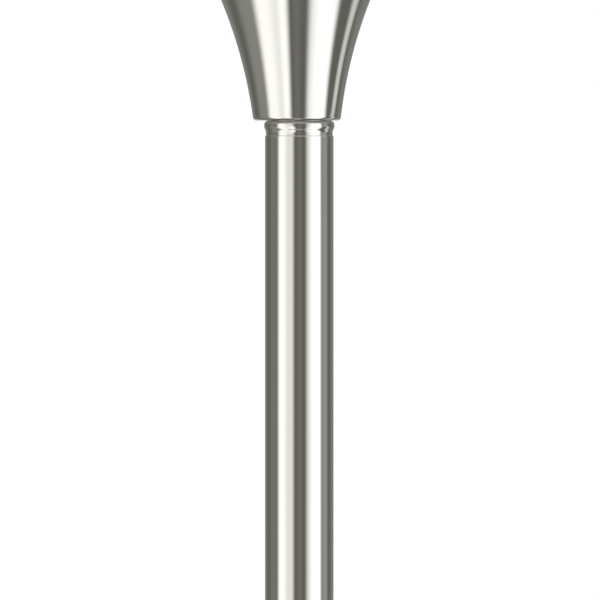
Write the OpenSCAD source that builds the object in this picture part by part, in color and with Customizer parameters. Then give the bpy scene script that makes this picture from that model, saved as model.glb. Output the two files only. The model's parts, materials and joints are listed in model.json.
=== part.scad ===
// Torchiere floor lamp: weighted round base, three screwed pole sections, a push-and-turn dimmer
// on the pole, and a spun trumpet shade round one upright bulb.
// Millimetres, +Z up, origin on the floor under the pole's axis, dimmer knob facing -Y.

/* [Lamp] */
// Height of the shade's foot above the floor
shade_foot = 1607; // [1500:1:1700]
// Outside diameter of the pole
pole_d = 38; // [38:0.1:38.4]
// Wall of the pole tubes
pole_wall = 1.2; // [1:0.1:1.5]
// Height of the dimmer knob's axis above the floor
dimmer_z = 1140; // [1120:1:1200]

/* [Base] */
// Diameter of the base cover
base_d = 305; // [290:1:320]
// Height of the base at its middle
base_h = 30; // [29.5:0.1:31]
// Radius that rounds the rim into the top
base_edge_r = 6; // [5:0.5:7]
// Radius of the shallow dome on top of the base
dome_r = 1200; // [1150:10:1300]
// Sheet thickness of the base cover
cover_t = 1.2; // [1:0.1:1.4]
// Thickness of the felt under the base
felt_t = 2.5; // [2:0.1:2.5]

/* [Shade] */
// Radius of the arc that flares the trumpet
flare_r = 262.5; // [260:0.5:265]
// Distance from the pole's axis to the centre of that arc
flare_centre_r = 284.8; // [284:0.1:286]
// How far the centre of that arc lies under the shade's foot
flare_centre_drop = 31.4; // [30:0.1:33]
// Diameter of the shade across its rim
shade_d = 300; // [280:1:310]
// Sheet thickness of the shade
shade_t = 1.2; // [1:0.1:1.4]
// Radius of the rolled bead round the rim
bead_r = 2; // [1.6:0.1:2.2]
// Radius that rounds the shade's foot
foot_edge_r = 2.2; // [1.5:0.1:2.2]
// Radius of the disc welded into the shade's foot
shade_disc_r = 22; // [20:0.5:22]

/* [Neck] */
// Radius of the neck ring under the shade
ring_r = 19.5; // [19.3:0.1:20]
// Height of the neck ring
ring_h = 5; // [4:0.1:6]
// Radius that rounds the neck ring's edges
ring_edge_r = 1.8; // [0.4:0.1:1.9]
// Radius at the bottom of the groove under the ring
groove_r = 18.5; // [18.2:0.1:18.7]
// Height of the groove
groove_h = 3.3; // [3:0.1:4]

/* [Bulb] */
// Radius of the bulb's round end
bulb_r = 30; // [28:0.5:30]
// Length of the bulb from its tip contact to its round end
bulb_len = 110; // [106:1:112]
// Thickness of the bulb's glass
glass_t = 0.8; // [0.6:0.1:1]

/* [Dimmer] */
// Radius of the knob
knob_r = 11; // [10.5:0.1:12]
// Length of the knob
knob_len = 15; // [14:0.5:16]
// Travel of the knob when it is pushed
push_travel = 1.2; // [1:0.1:1.3]

/* [Hidden] */
$fn = 96;

// Colours
STEEL = "silver";
NICKEL = "lightgray";
IRON = "dimgray";
BRASS = "goldenrod";
BLACK = [0.08, 0.08, 0.08];
PORCELAIN = "ivory";

clear = 0.3;                                  // gap round a bolt, pipe or screw in a plain hole
thread_gap = 0.02;                            // gap between engaged threads, drawn plain

// Base, from the floor up
base_r = base_d / 2;
felt_inset = 5;
felt_hole_r = 4.6;
plate_inset = 0.8;                            // gap between the bottom plate and the cover
plate_screw_circle = 60;
plate_screw_r = 2;
plate_screw_len = 9;
plate_head_r = 3.8;
plate_head_h = 1.8;
weight_gap = 0.35;                            // gap between the weight's boss and the cover
rim_bottom = 1.2;                             // the cover's edge hangs just clear of the floor
plate_t = 1;
weight_bottom = felt_t + plate_t;
weight_h = 15;
weight_r = base_r - 6.5;
well_r = 17;                                  // the well for the nut under the weight
well_top = 18.5;
boss_r = 24;
channel_w = 18;
channel_top = 14.5;
dome_centre = base_h - dome_r;
rim_h = dome_centre + sqrt(pow(dome_r - base_edge_r, 2) - pow(base_r - base_edge_r, 2));
cover_in = base_h - cover_t;
collar_floor = 2;
collar_h = 13;
collar_r = 28;
collar_top_r = 21.5;

// Pole
pole_r = pole_d / 2;
pole_in = pole_r - pole_wall;
pole_bottom = base_h + collar_floor;
shade_rim_angle = acos((flare_centre_r - shade_d / 2) / flare_r);
shade_h = flare_r * sin(shade_rim_angle) - flare_centre_drop;
pole_top = shade_foot - ring_h - groove_h;
section = round((pole_top - pole_bottom) / 3);
joint_z = [pole_bottom + section, pole_bottom + 2 * section];
plug_len = 25;
socket_len = 22;
stud_len = 18;
stud_hold = 15;
stud_r = 8;
wire_bore = 4.5;

// Pipes and nuts
pipe_r = 5;
pipe_bore = 3.6;
nut_flats = 16;
nut_h = 5;

// Cord gland
gland_z = 9;
gland_bore = 3.3;
gland_r = 4.5;
gland_flange_r = 6;
gland_flange_t = 1.6;
gland_len = 10;

// Terminal block and wires
block_y = 56;
block_len = 18;
block_w = 15;
block_bottom = weight_bottom + 0.3;
block_h = 9;
block_pitch = 8;
wire_r = 1.1;
wire_x = 1.4;
wire_run_z = block_bottom + 2.2;
wire_bend = 6;
wire_gap = 0.15;

// Dimmer, along Y
housing_front = -14.4;
housing_rear = -3.2;
housing_r = 10;
housing_wall = 1;
bush_r = 4;
shaft_r = 3;
shaft_fit = 0.05;
shaft_flat = 2.2;
saddle_face = -21;
saddle_r = 9.5;
dimmer_nut_h = 2.6;
knob_back = saddle_face - push_travel - 0.4;
knob_front = knob_back - knob_len;
recess_r = 8;
recess_h = 4.5;
tab_slot_z = 6.5;                             // the two terminals' distance above and below the shaft
tab_z = 13;
cover_plate_t = 1.4;
rotor_rear = -7.1;
rotor_t = 2.2;
track_face = -11;
clip_rear = -11.4;
clip_t = 0.6;
saddle_back = -12;                            // the saddle's thick end, inside the round of the pole
dimmer_nut_flats = 12;
knob_screw_r = 1.5;
knob_screw_back = 5.5;                        // from the knob's face to its set screw
knob_ribs = 36;
knob_edge_r = 1.2;
spring_room = rotor_rear - rotor_t - clip_rear;
off_angle = 30;                               // at "off" the knob's line points to seven o'clock

// Socket, up from the shade's foot
washer_h = 2;
lock_h = 1;
shade_nut_h = 4;
hub_r = 8;
hub_bottom = shade_foot + shade_t + washer_h + lock_h + shade_nut_h + 0.8;
hub_h = 7;
cup_bottom = hub_bottom + hub_h;
cup_h = 14;
socket_r = 19.5;
socket_wall = 1.5;
core_bottom = cup_bottom + socket_wall;
core_h = 16;
core_top = core_bottom + core_h;
shell_bottom = cup_bottom + cup_h;
shell_h = 32;
terminal_x = 9;
wire_end_z = 1.5;                             // the wires' height in the slot under the core
thread_r = 13;                                // crest radius of the bulb's thread
thread_wave = 0.45;
thread_pitch = 3.6;
thread_turns = 5;
contact_h = 2.5;
shade_nut_flats = 14;
set_screw_r = 1.5;
cup_edge_r = 6;

// Bulb, up from its tip contact
bulb_tip = core_top + contact_h;
tip_h = 2.5;
cap_h = 24;
cap_bottom = bulb_tip + tip_h;
cap_top = cap_bottom + cap_h;
bulb_top = bulb_tip + bulb_len;
bulb_centre = bulb_top - bulb_r;
bulb_neck_r = 13.7;
shoulder_angle = 40;                          // where the round end turns into the neck's hollow curve
filament_r = 11;
stem_top = bulb_centre - 2 * filament_r;
neck_curve_r = (bulb_r * cos(shoulder_angle) - bulb_neck_r) / (1 - cos(shoulder_angle));

// Points along an arc in the plane of a lathe profile
function arc(cx, cy, r, from, to, steps = 12) =
    [for (i = [0:steps]) let (a = from + (to - from) * i / steps) [cx + r * cos(a), cy + r * sin(a)]];

module lathe(points) { rotate_extrude() polygon(points); }

module pipe(r, bore, h) {
    difference() {
        cylinder(r = r, h = h);
        translate([0, 0, -1]) cylinder(r = bore, h = h + 2);
    }
}

module ring_at(z, r, bore, h) { translate([0, 0, z]) pipe(r, bore, h); }

module hex_nut(flats, bore, h) {
    difference() {
        cylinder(d = flats / cos(30), h = h, $fn = 6);
        translate([0, 0, -1]) cylinder(r = bore, h = h + 2);
    }
}

// A washer with bent teeth round its outside
module lock_washer(bore, r, h, teeth = 10) {
    difference() {
        cylinder(r = r, h = h);
        translate([0, 0, -1]) cylinder(r = bore, h = h + 2);
        for (i = [0:teeth - 1])
            rotate([0, 0, 360 * i / teeth]) translate([r, 0, -1]) cylinder(r = 0.9, h = h + 2, $fn = 24);
    }
}

// Turns a shape that was built up Z so that it runs along -Y from the given y
module facing_front(y) { translate([0, y, 0]) rotate([90, 0, 0]) children(); }

module at_dimmer() { translate([0, 0, dimmer_z]) children(); }

// ---------------------------------------------------------------- base

module plate_screw_places() {
    for (i = [0:2]) rotate([0, 0, 120 * i - 90]) translate([plate_screw_circle, 0, 0]) children();
}

module floor_felt() {
    color("black") difference() {
        cylinder(r = base_r - felt_inset, h = felt_t);
        plate_screw_places() translate([0, 0, -1]) cylinder(r = felt_hole_r, h = felt_t + 2);
    }
}

module base_bottom_plate() {
    color(IRON) difference() {
        ring_at(felt_t, base_r - cover_t - plate_inset, well_r + 3, plate_t);
        plate_screw_places() translate([0, 0, felt_t - 1])
            cylinder(r = plate_screw_r + clear, h = plate_t + 2);
    }
}

module bottom_plate_screws() {
    color(STEEL) plate_screw_places() difference() {
        union() {
            translate([0, 0, felt_t - plate_head_h]) cylinder(r = plate_head_r, h = plate_head_h);
            translate([0, 0, felt_t]) cylinder(r = plate_screw_r, h = plate_screw_len);
        }
        for (turn = [0, 90]) rotate([0, 0, turn]) translate([-2.5, -0.4, felt_t - 2]) cube([5, 0.8, 1]);
    }
}

module base_weight() {
    color(IRON) difference() {
        union() {
            translate([0, 0, weight_bottom]) cylinder(r = weight_r, h = weight_h);
            translate([0, 0, weight_bottom])
                cylinder(r = boss_r, h = cover_in - weight_gap - weight_bottom);
        }
        cylinder(r = pipe_r + clear, h = base_h);
        cylinder(r = well_r, h = well_top);
        translate([-channel_w / 2, 0, 0]) cube([channel_w, base_r, channel_top]);
        plate_screw_places() cylinder(r = plate_screw_r + thread_gap, h = felt_t + plate_screw_len + 2);
    }
}

// Outline of the base's body, drawn in from the outside by the given inset
function dome_outline(inset, bottom) = let (
    edge = base_edge_r - inset,
    edge_x = base_r - base_edge_r,
    lean = asin(edge_x / (dome_r - base_edge_r))
) concat(
    [[base_r - inset, bottom]],
    arc(edge_x, rim_h, edge, 0, 90 - lean, 8),
    arc(0, dome_centre, dome_r - inset, 90 - lean, 90 - asin((pipe_r + clear) / (dome_r - inset)), 10)
);

function reversed(list) = [for (i = [len(list) - 1:-1:0]) list[i]];

module base_cover() {
    color(STEEL) difference() {
        lathe(concat(dome_outline(0, rim_bottom), reversed(dome_outline(cover_t, rim_bottom))));
        translate([0, base_r + 5, gland_z]) rotate([90, 0, 0]) cylinder(r = gland_r + 0.1, h = 12);
    }
}

module base_collar() {
    cove = collar_r - collar_top_r;
    seat_r = dome_r + 0.02;
    color(STEEL) lathe(concat(
        arc(0, dome_centre, seat_r, 90 - asin((pipe_r + clear) / seat_r), 90 - asin(collar_r / seat_r), 4),
        arc(collar_r - 0.5, base_h + 2.5, 0.5, 0, 90, 4),
        arc(collar_r - 0.5, base_h + 3 + cove, cove, 270, 184, 10),
        arc(collar_top_r - 0.8, base_h + collar_h - 0.8, 0.8, 0, 90, 4),
        [[pole_r + 0.1, base_h + collar_h], [pole_r + 0.1, pole_bottom], [pipe_r + clear, pole_bottom]]
    ));
}

module base_nipple() {
    bottom = well_top - washer_h - lock_h - nut_h - 1;
    color(NICKEL) ring_at(bottom, pipe_r, pipe_bore, pole_bottom + 18 - bottom);
}

module base_nut() {
    color(NICKEL) translate([0, 0, well_top - washer_h - lock_h - nut_h])
        hex_nut(nut_flats, pipe_r + thread_gap, nut_h);
}

module base_lock_washer() {
    color(NICKEL) translate([0, 0, well_top - washer_h - lock_h])
        lock_washer(pipe_r + clear, 9.5, lock_h);
}

module base_flat_washer() {
    color(NICKEL) ring_at(well_top - washer_h, 14, pipe_r + clear, washer_h);
}

// ---------------------------------------------------------------- cord inlet

module cord_gland() {
    color(BLACK) translate([0, 0, gland_z]) facing_front(base_r + gland_flange_t) difference() {
        union() {
            cylinder(r1 = gland_flange_r - 0.8, r2 = gland_flange_r, h = 0.8);
            translate([0, 0, 0.8]) cylinder(r = gland_flange_r, h = gland_flange_t - 0.8);
            cylinder(r = gland_r, h = gland_len);
        }
        translate([0, 0, -1]) cylinder(r = gland_bore, h = gland_len + 2);
    }
}

module gland_nut() {
    color(BLACK) translate([0, 0, gland_z]) facing_front(base_r - cover_t - 0.15)
        hex_nut(10.4, gland_r + thread_gap, 3);
}

module block_hole_places() {
    for (side = [-1, 1]) translate([side * block_pitch / 2, 0, 0]) children();
}

module terminal_block() {
    color(PORCELAIN) difference() {
        translate([-block_w / 2, block_y, block_bottom]) cube([block_w, block_len, block_h]);
        block_hole_places() translate([0, block_y - 1, wire_run_z]) rotate([-90, 0, 0])
            cylinder(r = 1.6, h = block_len + 2);
        block_hole_places() for (y = [4.5, block_len - 4.5])
            translate([0, block_y + y, wire_run_z]) cylinder(r = 1.8, h = block_h);
    }
}

module terminal_block_screws() {
    color(BRASS) block_hole_places() for (y = [4.5, block_len - 4.5])
        translate([0, block_y + y, wire_run_z + wire_r + thread_gap]) difference() {
            cylinder(r = 1.8 - thread_gap, h = 4);
            translate([-2, -0.3, 3.2]) cube([4, 0.6, 2]);
        }
}

// ---------------------------------------------------------------- pole

module tube(z, h) {
    edge = 0.5;
    lathe(concat(
        [[pole_in, z]], arc(pole_r - edge, z + edge, edge, -90, 0, 3),
        arc(pole_r - edge, z + h - edge, edge, 0, 90, 3), [[pole_in, z + h]]
    ));
}

module lower_tube() { color(STEEL) tube(pole_bottom, section); }
module middle_tube() { color(STEEL) tube(joint_z[0], section); }

module upper_tube() {
    color(STEEL) difference() {
        tube(joint_z[1], pole_top - joint_z[1]);
        at_dimmer() facing_front(0) cylinder(r = bush_r + 0.15, h = pole_d);
    }
}

module foot_plug() {
    color(NICKEL) ring_at(pole_bottom, pole_in, pipe_r + thread_gap, plug_len);
}

module joint_socket(z) {
    color(NICKEL) ring_at(z - socket_len, pole_in, stud_r + thread_gap, socket_len);
}

module joint_stud(z) {
    color(NICKEL) difference() {
        union() {
            translate([0, 0, z]) cylinder(r = pole_in, h = stud_hold);
            translate([0, 0, z - stud_len]) cylinder(r = stud_r, h = stud_len + 1);
            translate([0, 0, z - stud_len - 1]) cylinder(r1 = stud_r - 1, r2 = stud_r, h = 1);
        }
        translate([0, 0, z - stud_len - 2]) cylinder(r = wire_bore, h = stud_len + stud_hold + 4);
    }
}

module lower_joint_socket() { joint_socket(joint_z[0]); }
module lower_joint_stud() { joint_stud(joint_z[0]); }
module upper_joint_socket() { joint_socket(joint_z[1]); }
module upper_joint_stud() { joint_stud(joint_z[1]); }

module neck_plug() {
    color(STEEL) lathe(concat(
        [[pipe_r + thread_gap, pole_top - plug_len], [pole_in, pole_top - plug_len], [pole_in, pole_top],
         [groove_r, pole_top], [groove_r, pole_top + groove_h]],
        arc(ring_r - ring_edge_r, pole_top + groove_h + ring_edge_r, ring_edge_r, -90, 0, 6),
        arc(ring_r - ring_edge_r, shade_foot - ring_edge_r, ring_edge_r, 0, 90, 6),
        [[pipe_r + thread_gap, shade_foot]]
    ));
}

// ---------------------------------------------------------------- dimmer

module dimmer_housing() {
    color(BLACK) at_dimmer() facing_front(housing_rear) difference() {
        cylinder(r = housing_r, h = housing_rear - housing_front);
        translate([0, 0, -1]) cylinder(r = housing_r - housing_wall, h = housing_rear - housing_front);
        cylinder(r = bush_r + thread_gap, h = 30);
    }
}

module dimmer_rear_cover() {
    color("saddlebrown") at_dimmer() facing_front(housing_rear) difference() {
        union() {
            cylinder(r = housing_r - housing_wall - 0.02, h = cover_plate_t);
            pipe(5, shaft_r + 0.4, housing_rear - rotor_rear - clear);
        }
        for (side = [-1, 1]) translate([-1.5, side * tab_slot_z - 0.4, -1]) cube([3, 0.8, 4]);
    }
}

module dimmer_terminals() {
    tab_t = 0.6;
    tab_w = 2.8;
    tab_end = -wire_r - 0.05;
    inner_end = housing_rear - 3;
    color(BRASS) at_dimmer() for (side = [-1, 1]) {
        translate([-tab_w / 2, inner_end, side * tab_slot_z - tab_t / 2])
            cube([tab_w, tab_end - inner_end, tab_t]);
        translate([-tab_w / 2, tab_end - tab_t, side > 0 ? tab_slot_z : -tab_z])
            cube([tab_w, tab_t, tab_z - tab_slot_z]);
    }
}

module dimmer_track() {
    color("black") at_dimmer() facing_front(track_face) difference() {
        cylinder(r = housing_r - housing_wall - 0.1, h = 1.2);
        translate([0, 0, -1]) cylinder(r = 5.5, h = 4);
        translate([-1.5, -housing_r, -1]) cube([3, housing_r, 4]);
    }
}

module dimmer_bush() {
    color(NICKEL) at_dimmer() facing_front(housing_front + 2.1) difference() {
        union() {
            cylinder(r = 6, h = 1);
            cylinder(r = bush_r, h = housing_front + 2.1 - saddle_face + dimmer_nut_h + 0.6);
        }
        translate([0, 0, -1]) cylinder(r = shaft_r + shaft_fit, h = 30);
    }
}

// Fits the round of the pole on one side and gives the nut a flat face on the other
module dimmer_saddle() {
    color(STEEL) at_dimmer() difference() {
        facing_front(saddle_back) cylinder(r = saddle_r, h = saddle_back - saddle_face);
        translate([0, 0, -20]) cylinder(r = pole_r + thread_gap, h = 40);
        facing_front(0) cylinder(r = bush_r + 0.15, h = 30);
    }
}

module dimmer_nut() {
    color(NICKEL) at_dimmer() facing_front(saddle_face)
        hex_nut(dimmer_nut_flats, bush_r + thread_gap, dimmer_nut_h);
}

// A round bar with a flat down one side, as the shaft and its hole in the rotor share
module flatted_bar(r, flat, h) {
    difference() {
        cylinder(r = r, h = h);
        translate([flat, -r - 1, -1]) cube([r, 2 * r + 2, h + 2]);
    }
}

module dimmer_rotor() {
    wiper_h = rotor_rear - rotor_t - track_face - clear;
    color("white") at_dimmer() facing_front(rotor_rear) rotate([0, 0, -off_angle]) difference() {
        union() {
            cylinder(r = 7.5, h = rotor_t);
            translate([-1, -8.4, rotor_t - 0.1]) cube([2, 2.2, wiper_h + 0.1]);
        }
        translate([0, 0, -1]) flatted_bar(shaft_r + shaft_fit, shaft_flat + shaft_fit, rotor_t + 2);
    }
}

// Two flat turns of a coil, each drawn as a pair of half rings that lean opposite ways
module dimmer_spring() {
    coil_r = 4.2;
    coil_wire = 0.18;
    rise = (spring_room - 2 * coil_wire - 2 * clear) / 4;
    lean = asin(rise / (2 * coil_r));
    color(NICKEL) at_dimmer() facing_front(rotor_rear - rotor_t - clear - coil_wire)
        for (i = [0:3]) translate([0, 0, rise * (i + 0.5)]) rotate([0, 0, 180 * i]) rotate([0, lean, 0])
            rotate_extrude(angle = 180, $fn = 48) translate([coil_r, 0]) circle(r = coil_wire, $fn = 16);
}

module dimmer_clip() {
    color(NICKEL) at_dimmer() facing_front(clip_rear) rotate([0, 0, -off_angle]) difference() {
        cylinder(r = 4.9, h = clip_t);
        translate([0, 0, -1]) cylinder(r = shaft_r + thread_gap, h = clip_t + 2);
        translate([0, -1.6, -1]) cube([6, 3.2, clip_t + 2]);
    }
}

module dimmer_shaft() {
    inner_end = housing_rear - cover_plate_t - push_travel - clear;
    keyed = inner_end - clip_rear - 0.3;
    knob_end = knob_front + 3;
    color(NICKEL) at_dimmer() facing_front(inner_end) rotate([0, 0, -off_angle]) difference() {
        cylinder(r = shaft_r, h = inner_end - knob_end);
        translate([shaft_flat, -shaft_r - 1, -1]) cube([shaft_r, 2 * shaft_r + 2, keyed + 1]);
        translate([shaft_flat, -shaft_r - 1, inner_end - knob_back + recess_h - 0.2])
            cube([shaft_r, 2 * shaft_r + 2, knob_len]);
    }
}

module dimmer_knob() {
    color(STEEL) at_dimmer() facing_front(knob_back) rotate([0, 0, -off_angle]) difference() {
        lathe(concat(
            [[0, recess_h], [recess_r, recess_h], [recess_r, 0], [knob_r - 0.4, 0], [knob_r, 0.4]],
            arc(knob_r - knob_edge_r, knob_len - knob_edge_r, knob_edge_r, 0, 90, 6),
            [[0, knob_len]]
        ));
        flatted_bar(shaft_r + thread_gap, shaft_flat + thread_gap, knob_len - 3);
        translate([shaft_flat, 0, knob_len - knob_screw_back]) rotate([0, 90, 0])
            cylinder(r = knob_screw_r, h = knob_r);
        for (i = [0:knob_ribs - 1]) rotate([0, 0, 360 * (i + 0.5) / knob_ribs])
            translate([knob_r + 0.2, 0, 3]) cylinder(r = 0.55, h = knob_len - 6, $fn = 16);
        translate([-0.5, -knob_r - 1, knob_len - 0.5]) cube([1, knob_r - 4, 1]);
    }
}

module knob_set_screw() {
    color(BLACK) at_dimmer() facing_front(knob_back) rotate([0, 0, -off_angle])
        translate([shaft_flat + 0.05, 0, knob_len - knob_screw_back]) rotate([0, 90, 0]) difference() {
            cylinder(r = knob_screw_r - thread_gap, h = 6.5);
            translate([0, 0, 4.5]) cylinder(r = 0.8, h = 3, $fn = 6);
        }
}

// ---------------------------------------------------------------- shade

function flare(offset, from, to, steps) =
    arc(flare_centre_r, shade_foot - flare_centre_drop, flare_r + offset, 180 - from, 180 - to, steps);

module trumpet_shade() {
    outer_start = asin((flare_centre_drop + foot_edge_r) / flare_r);
    inner_start = asin((flare_centre_drop + shade_t) / (flare_r + shade_t));
    wall_r = flare_centre_r - flare_r * cos(outer_start);
    color(STEEL) rotate_extrude() {
        polygon(concat(
            [[shade_disc_r, shade_foot]],
            arc(wall_r - foot_edge_r, shade_foot + foot_edge_r, foot_edge_r, -90, 0, 5),
            flare(0, outer_start, shade_rim_angle, 36),
            flare(shade_t, shade_rim_angle, inner_start, 36),
            [[shade_disc_r, shade_foot + shade_t]]
        ));
        translate([shade_d / 2, shade_foot + shade_h]) circle(r = bead_r, $fn = 32);
    }
}

// The disc welded into the shade's foot, which the nipple passes through
module shade_foot_disc() {
    color(STEEL) ring_at(shade_foot, shade_disc_r, pipe_r + clear, shade_t);
}

module top_nipple() {
    color(NICKEL) ring_at(pole_top - 15, pipe_r, pipe_bore, cup_bottom + 1 - (pole_top - 15));
}

module shade_washer() {
    color(NICKEL) ring_at(shade_foot + shade_t, 18, pipe_r + clear, washer_h);
}

module shade_lock_washer() {
    color(NICKEL) translate([0, 0, shade_foot + shade_t + washer_h])
        lock_washer(pipe_r + clear, 9, lock_h);
}

module shade_nut() {
    color(NICKEL) translate([0, 0, shade_foot + shade_t + washer_h + lock_h])
        hex_nut(shade_nut_flats, pipe_r + thread_gap, shade_nut_h);
}

// ---------------------------------------------------------------- bulb socket

module socket_base() {
    set_z = hub_bottom + hub_h / 2;
    color(BRASS) difference() {
        lathe(concat(
            [[pipe_r + thread_gap, hub_bottom], [hub_r, hub_bottom], [hub_r, cup_bottom]],
            arc(socket_r - cup_edge_r, cup_bottom + cup_edge_r, cup_edge_r, -90, 0, 8),
            [[socket_r, shell_bottom], [socket_r - socket_wall, shell_bottom]],
            arc(socket_r - cup_edge_r, cup_bottom + cup_edge_r, cup_edge_r - socket_wall, 0, -90, 8),
            [[pipe_r + thread_gap, cup_bottom + socket_wall]]
        ));
        translate([0, 0, set_z]) rotate([0, 90, 0]) cylinder(r = set_screw_r, h = 12);
    }
}

module socket_set_screw() {
    color(NICKEL) translate([pipe_r + 0.05, 0, hub_bottom + hub_h / 2]) rotate([0, 90, 0]) difference() {
        union() {
            cylinder(r = set_screw_r - thread_gap, h = hub_r - pipe_r + 1);
            translate([0, 0, hub_r - pipe_r + 0.2]) cylinder(r = 2.6, h = 1.8);
        }
        translate([-3, -0.3, hub_r - pipe_r + 1.2]) cube([6, 0.6, 2]);
    }
}

module socket_shell() {
    lip = 1.2;
    color(PORCELAIN) lathe(concat(
        [[socket_r - socket_wall, shell_bottom], [socket_r, shell_bottom]],
        arc(socket_r - lip, shell_bottom + shell_h - lip, lip, 0, 90, 5),
        [[thread_r + 1.6, shell_bottom + shell_h], [thread_r + 1.6, shell_bottom + shell_h - 2],
         [socket_r - socket_wall, shell_bottom + shell_h - 2]]
    ));
}

module socket_core() {
    core_r = socket_r - socket_wall - 3.2;
    color(PORCELAIN) translate([0, 0, core_bottom]) difference() {
        union() {
            cylinder(r1 = core_r - 2, r2 = core_r, h = 2);
            translate([0, 0, 2]) cylinder(r = core_r, h = core_h - 2);
        }
        translate([0, 0, -1]) cylinder(r = wire_bore, h = core_h - 3);
        for (side = [-1, 1])
            translate([side * terminal_x, 0, -1]) cylinder(r = 2 + thread_gap, h = core_h - 3);
        translate([-11.2, -2.4, -1]) cube([22.4, 4.8, 4]);
    }
}

module socket_terminal_screws() {
    color(BRASS) for (side = [-1, 1])
        translate([side * terminal_x, 0, core_bottom + wire_end_z + wire_r + thread_gap]) difference() {
            cylinder(r = 2, h = core_h - 8);
            translate([-3, -0.3, -1]) cube([6, 0.6, 1.8]);
        }
}

// A wavy line up a rolled thread
function thread_line(r, z, turns) =
    [for (i = [0:8 * turns]) [r - thread_wave + thread_wave * cos(45 * i), z + thread_pitch * i / 8]];

module socket_screw_shell() {
    z = core_top + 0.05;
    thread_z = cap_bottom + 1 - thread_pitch;
    inner = thread_line(thread_r + 0.35, thread_z, thread_turns);
    outer = thread_line(thread_r + 0.85, thread_z, thread_turns);
    color(BRASS) lathe(concat(
        [[6, z], [thread_r + 0.85, z]], outer, reversed(inner), [[thread_r - 0.1, z + 0.6], [6, z + 0.6]]
    ));
}

module socket_centre_contact() {
    color(BRASS) {
        translate([0, 0, core_top]) cylinder(r = 3, h = 0.8);
        translate([0, 0, core_top + 0.8]) cylinder(r = 2, h = contact_h - 0.85);
    }
}

// ---------------------------------------------------------------- bulb

// Outline of the glass, from its neck to its round end
function glass_outline(inset) = let (
    neck_x = bulb_neck_r + neck_curve_r,
    neck_z = bulb_centre - (bulb_r + neck_curve_r) * sin(shoulder_angle)
) concat(
    [[bulb_neck_r - inset, cap_top - 3]],
    arc(neck_x, neck_z, neck_curve_r + inset, 180, 180 - shoulder_angle, 10),
    arc(0, bulb_centre, bulb_r - inset, -shoulder_angle, 90, 28)
);

module bulb_glass() {
    color("white", 0.9) lathe(concat(glass_outline(0), reversed(glass_outline(glass_t))));
}

module bulb_cap() {
    crest = thread_line(thread_r, cap_bottom + 1, thread_turns);
    root = thread_line(thread_r - 0.5, cap_bottom + 1, thread_turns);
    color(NICKEL) lathe(concat(
        [[8, cap_bottom], [thread_r - 1.4, cap_bottom]], crest,
        [[bulb_neck_r + 0.55, cap_bottom + 20.2], [bulb_neck_r + 0.55, cap_top],
         [bulb_neck_r + 0.05, cap_top], [bulb_neck_r + 0.05, cap_bottom + 20.7]],
        reversed(root), [[thread_r - 1.9, cap_bottom + 0.5], [8, cap_bottom + 0.5]]
    ));
}

module bulb_cap_insulator() {
    color(BLACK) difference() {
        translate([0, 0, bulb_tip + 0.6]) cylinder(r1 = 5, r2 = 8, h = cap_bottom - bulb_tip - 0.6);
        translate([0, 0, bulb_tip - 1]) cylinder(r = 2, h = 5);
    }
}

module bulb_contact() {
    color(BRASS) {
        translate([0, 0, bulb_tip]) cylinder(r = 3.2, h = 0.6);
        translate([0, 0, bulb_tip + 0.6]) cylinder(r = 1.95, h = 2.4);
    }
}

module bulb_stem() {
    color("lightcyan", 0.5) translate([0, 0, cap_top - 2]) {
        cylinder(r1 = 12.6, r2 = 4, h = 10);
        translate([0, 0, 9.5]) cylinder(r = 3.6, h = stem_top - cap_top - 7.5);
    }
}

module bulb_lead_wires() {
    out = filament_r - 1.8;
    up = bulb_centre - stem_top;
    color(NICKEL) for (side = [-1, 1]) translate([side * 1.8, 0, stem_top + 0.2])
        rotate([0, side * atan2(out, up), 0]) cylinder(r = 0.4, h = norm([out, up]) - 0.5, $fn = 16);
}

module bulb_filament() {
    color("dimgray") translate([0, 0, bulb_centre]) rotate([90, 0, 0])
        rotate_extrude(angle = 180) translate([filament_r, 0]) circle(r = 0.4, $fn = 16);
}

// ---------------------------------------------------------------- wires in the pole

module straight_wire(length) { cylinder(r = wire_r, h = length, $fn = 24); }

// A quarter turn of wire that heads down from the origin and curves round to +X
module wire_turn(bend) {
    translate([bend, 0, 0]) rotate([90, 0, 0]) rotate([0, 0, 180])
        rotate_extrude(angle = 90, $fn = 48) translate([bend, 0]) circle(r = wire_r, $fn = 24);
}

// From the terminal block along the channel, then up inside the pole to the given height
module riser_wire(side, to_z) {
    turn_z = wire_run_z + wire_bend;
    lean = asin((block_pitch / 2 - wire_x) / (block_y + 4));
    translate([side * wire_x, 0, turn_z]) rotate([0, 0, 90 - side * lean]) {
        straight_wire(to_z - turn_z);
        wire_turn(wire_bend);
        translate([wire_bend, 0, -wire_bend]) rotate([0, 90, 0]) straight_wire(block_y + 3.5 - wire_bend);
    }
}

// From the given height up inside the pole, then out to the screw under the socket's core
module socket_wire(side, from_z) {
    bend = 3;
    turn_z = core_bottom + wire_end_z - bend;
    translate([side * wire_x, 0, from_z]) straight_wire(turn_z - from_z);
    translate([side * wire_x, 0, turn_z]) rotate([0, 0, side > 0 ? 0 : 180]) {
        rotate([180, 0, 0]) wire_turn(bend);
        translate([bend, 0, bend]) rotate([0, 90, 0]) straight_wire(terminal_x + 1.5 - wire_x - bend);
    }
}

solder_lap = 4;                               // how far each wire lies along its terminal

module live_wire() { color(BLACK) riser_wire(-1, dimmer_z - tab_z + solder_lap); }
module switched_wire() { color("red") socket_wire(-1, dimmer_z + tab_z - solder_lap); }

module neutral_wire() {
    color("white") {
        riser_wire(1, dimmer_z + 1);
        socket_wire(1, dimmer_z);
    }
}

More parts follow.
